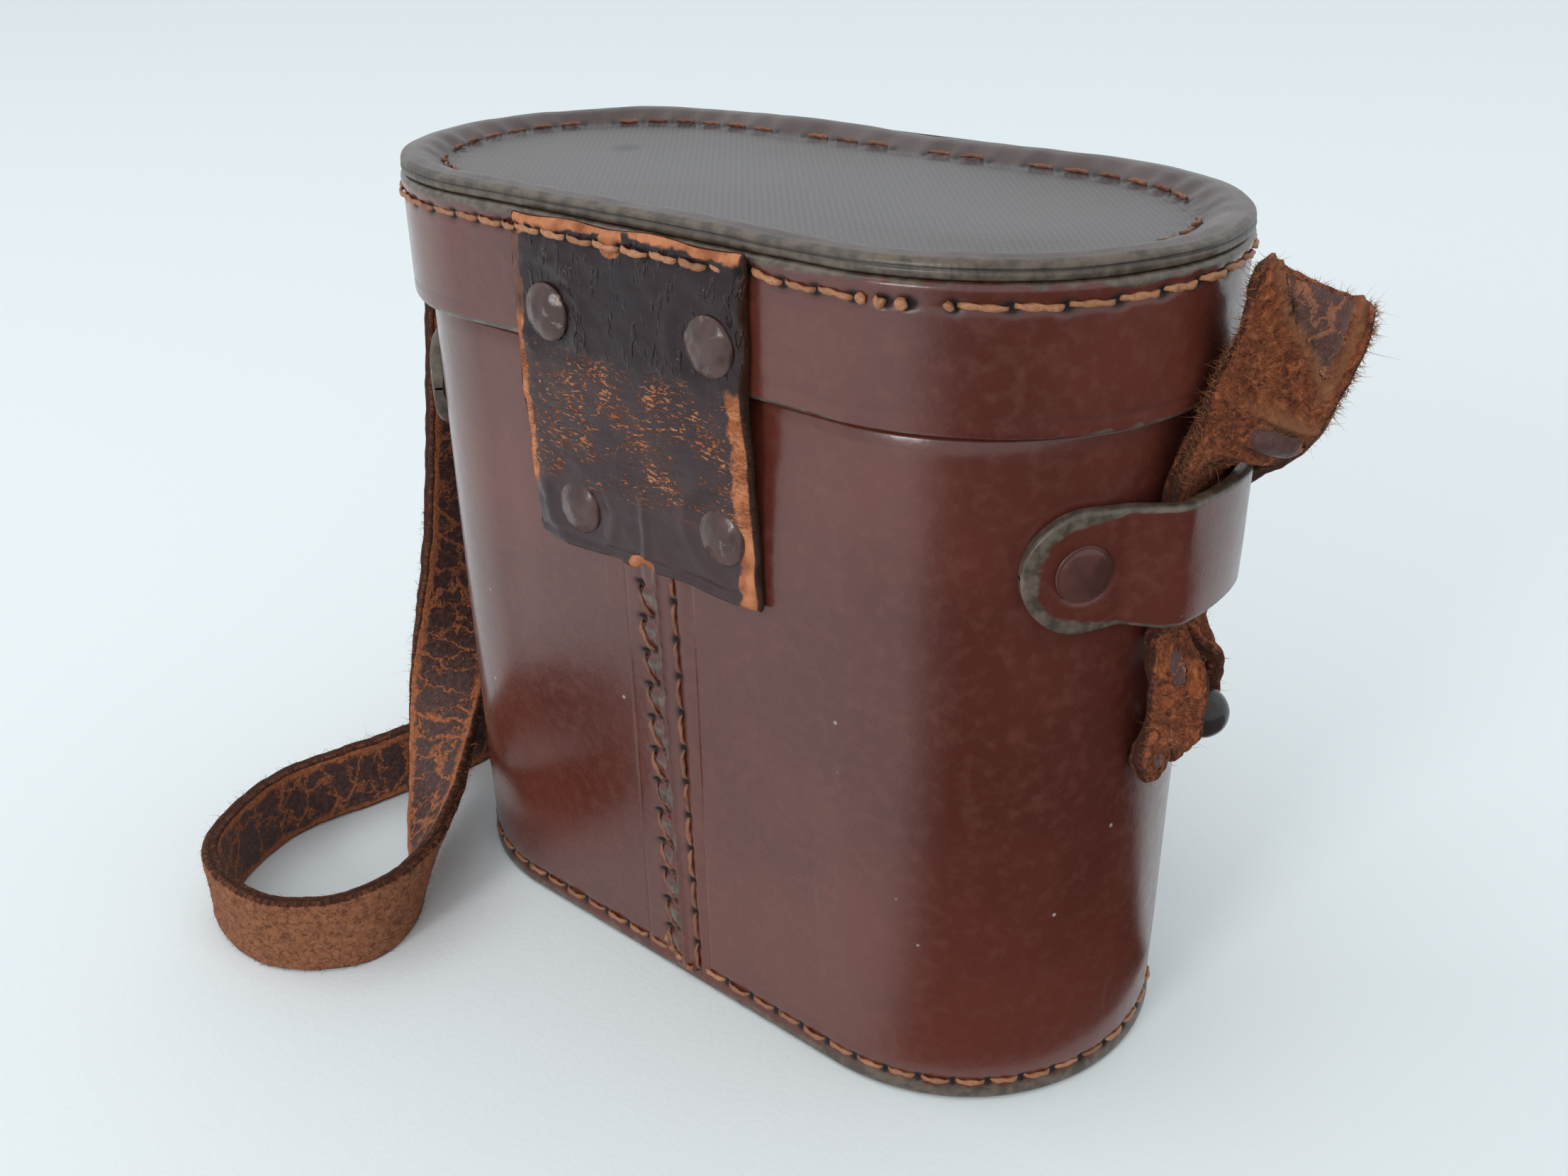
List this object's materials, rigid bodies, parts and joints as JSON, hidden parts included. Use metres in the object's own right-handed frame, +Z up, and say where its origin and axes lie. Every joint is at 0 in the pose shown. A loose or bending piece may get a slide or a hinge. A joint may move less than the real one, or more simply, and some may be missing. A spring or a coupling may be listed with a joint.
{
  "type": "binocular case",
  "caption": "Hard leather case for small binoculars: oval stitched body, riveted flap-hinged lid, closure tab with ball stud, side loops and a loose shoulder strap.",
  "frame": {"origin": "middle of the flat base, on the surface the case stands on", "axes": "+Z up, +X along the long axis of the oval, -Y the hinge side, +Y the closure side"},
  "size_m": [0.1818, 0.162, 0.135],
  "materials": {
    "body_leather": "polished, worn",
    "lid_leather": "polished, worn",
    "lid_top_leather": "satin, faded",
    "base_leather": "satin",
    "flap_leather": "cracked, glossy",
    "strap_leather": "dry, fuzzy",
    "suede_lining": "matt nap",
    "waxed_thread": "waxed",
    "rivet_metal": "japanned, worn",
    "stud_metal": "blackened",
    "washer_brass": "dull"
  },
  "bodies": {
    "case_body": {"body_wall": "body_leather", "base_plate": "base_leather", "base_lining": "suede_lining", "body_lining": "suede_lining", "seam_strip": "body_leather", "base_stitching": "waxed_thread", "seam_stitching_left": "waxed_thread", "seam_stitching_right": "waxed_thread", "hinge_flap_lower": "flap_leather", "hinge_rivets_lower": "rivet_metal", "hinge_washers_lower": "washer_brass", "loop_left": "body_leather", "loop_right": "body_leather", "loop_rivets_left": "rivet_metal", "loop_rivets_right": "rivet_metal", "loop_washers": "washer_brass", "stud_left": "stud_metal", "stud_right": "stud_metal", "stud_front": "stud_metal", "stud_washers": "washer_brass", "shoulder_strap": "strap_leather"},
    "lid": {"lid_skirt": "lid_leather", "lid_top": "lid_top_leather", "lid_lining": "suede_lining", "lid_stitching_outer": "waxed_thread", "lid_stitching_inner": "waxed_thread", "hinge_flap_upper": "flap_leather", "hinge_rivets_upper": "rivet_metal", "hinge_washers_upper": "washer_brass", "closure_tab_root": "flap_leather", "closure_rivet": "rivet_metal", "closure_washer": "washer_brass"},
    "tab": {"closure_tab": "flap_leather"}
  },
  "joints": [
    {"name": "lid_hinge", "type": "hinge", "parent": "case_body", "child": "lid", "pos_m": [0, -0.0382, 0.1125], "axis": [1, 0, 0], "range_deg": [0, 140]},
    {"name": "tab_flex", "type": "hinge", "parent": "lid", "child": "tab", "pos_m": [0, 0.0382, 0.1123], "axis": [1, 0, 0], "range_deg": [0, 90]}
  ]
}
